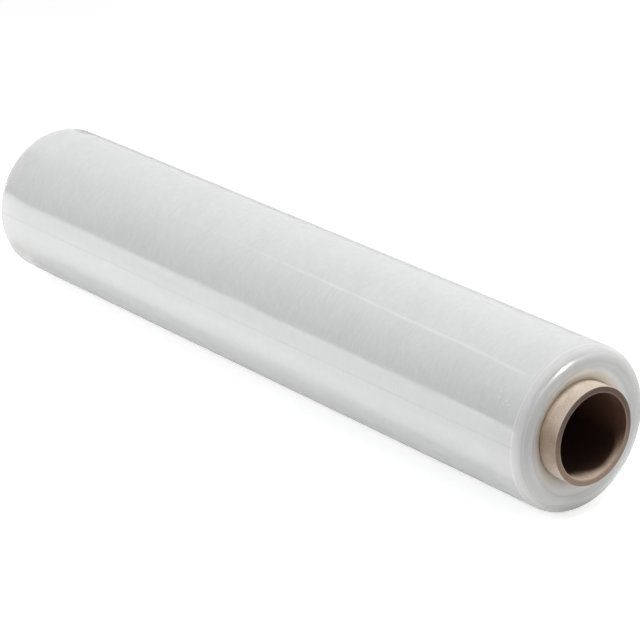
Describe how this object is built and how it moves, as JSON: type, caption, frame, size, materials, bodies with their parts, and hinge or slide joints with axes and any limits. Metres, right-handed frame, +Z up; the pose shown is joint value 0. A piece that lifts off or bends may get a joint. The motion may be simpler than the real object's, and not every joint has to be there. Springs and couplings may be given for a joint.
{
  "type": "stretch wrap roll",
  "caption": "Hand roll of clear stretch film wound on a cardboard core tube that stands out at both ends, lying on its side.",
  "frame": {"origin": "on the ground under the middle of the roll, at the bottom centre of its box", "axes": "+X along the core's axis towards the end that faces the camera in the picture, +Z up out of the flat spot that the roll lies on, +Y across the roll"},
  "size_m": [0.516, 0.097, 0.0967],
  "materials": {
    "stretch_film": "glossy translucent film, wound tight",
    "kraft_cardboard": "matt kraft paper, cut square"
  },
  "bodies": {
    "root": {"film_roll": "stretch_film", "core_tube": "kraft_cardboard"}
  },
  "joints": []
}
